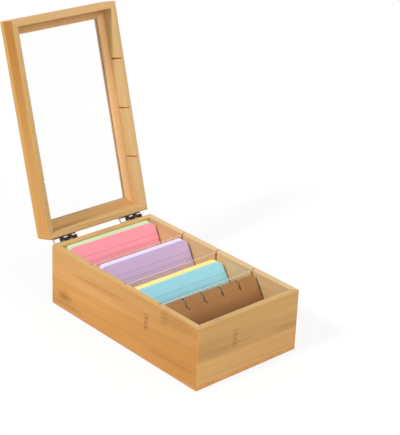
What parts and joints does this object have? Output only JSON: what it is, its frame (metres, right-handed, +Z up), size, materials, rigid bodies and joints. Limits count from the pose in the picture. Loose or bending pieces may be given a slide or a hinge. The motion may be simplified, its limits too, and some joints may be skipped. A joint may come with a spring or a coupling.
{
  "type": "recipe card box",
  "caption": "Long bamboo card box with a hinged window lid, clear upright dividers in grooved walls, coloured index cards and tabbed index cards.",
  "frame": {"origin": "middle of the base's underside, on the surface the box stands on", "axes": "+X along the hinge line to the right, +Y from the front wall to the hinged rear wall, +Z up; the lid stands open at rest"},
  "size_m": [0.15, 0.3547, 0.3284],
  "materials": {
    "bamboo": "clear satin lacquer on laminated bamboo",
    "clear_pane": "clear, polished",
    "clear_plate": "clear, polished, with bright edges",
    "hinge_bronze": "antique bronze plating",
    "screw_bronze": "antique bronze plating",
    "green_paper": "matte coloured card",
    "pink_paper": "matte coloured card",
    "white_paper": "matte coloured card",
    "purple_paper": "matte coloured card",
    "yellow_paper": "matte coloured card",
    "blue_paper": "matte coloured card",
    "kraft_board": "matte brown kraft board"
  },
  "bodies": {
    "base": {"base_bottom": "bamboo", "base_front_wall": "bamboo", "base_rear_wall": "bamboo", "base_left_wall": "bamboo", "base_right_wall": "bamboo", "left_hinge_base_leaf": "hinge_bronze", "right_hinge_base_leaf": "hinge_bronze", "left_hinge_pin": "hinge_bronze", "right_hinge_pin": "hinge_bronze", "base_leaf_screws": "screw_bronze", "green_cards": "green_paper", "pink_cards": "pink_paper", "white_cards": "white_paper", "purple_cards": "purple_paper", "yellow_cards": "yellow_paper", "blue_cards": "blue_paper", "index_card_1": "kraft_board", "index_card_2": "kraft_board", "index_card_3": "kraft_board", "index_card_4": "kraft_board", "index_card_5": "kraft_board"},
    "lid": {"lid_front_rail": "bamboo", "lid_rear_rail": "bamboo", "lid_left_rail": "bamboo", "lid_right_rail": "bamboo", "window_front_strip": "bamboo", "window_rear_strip": "bamboo", "window_left_strip": "bamboo", "window_right_strip": "bamboo", "window_pane": "clear_pane", "lid_leaf_screws": "screw_bronze", "left_hinge_lid_leaf": "hinge_bronze", "right_hinge_lid_leaf": "hinge_bronze"},
    "rear_plate": {"rear_divider": "clear_plate"},
    "middle_plate": {"middle_divider": "clear_plate"},
    "front_plate": {"front_divider": "clear_plate"}
  },
  "joints": [
    {"name": "lid_hinge", "type": "hinge", "parent": "base", "child": "lid", "pos_m": [0, 0.13208, 0.07812], "axis": [1, 0, 0], "range_deg": [0, 105.8]},
    {"name": "rear_divider_lift", "type": "slide", "parent": "base", "child": "rear_plate", "axis": [0, 0, 1], "range_m": [0, 0.018]},
    {"name": "middle_divider_lift", "type": "slide", "parent": "base", "child": "middle_plate", "axis": [0, 0, 1], "range_m": [0, 0.018]},
    {"name": "front_divider_lift", "type": "slide", "parent": "base", "child": "front_plate", "axis": [0, 0, 1], "range_m": [0, 0.018]}
  ]
}
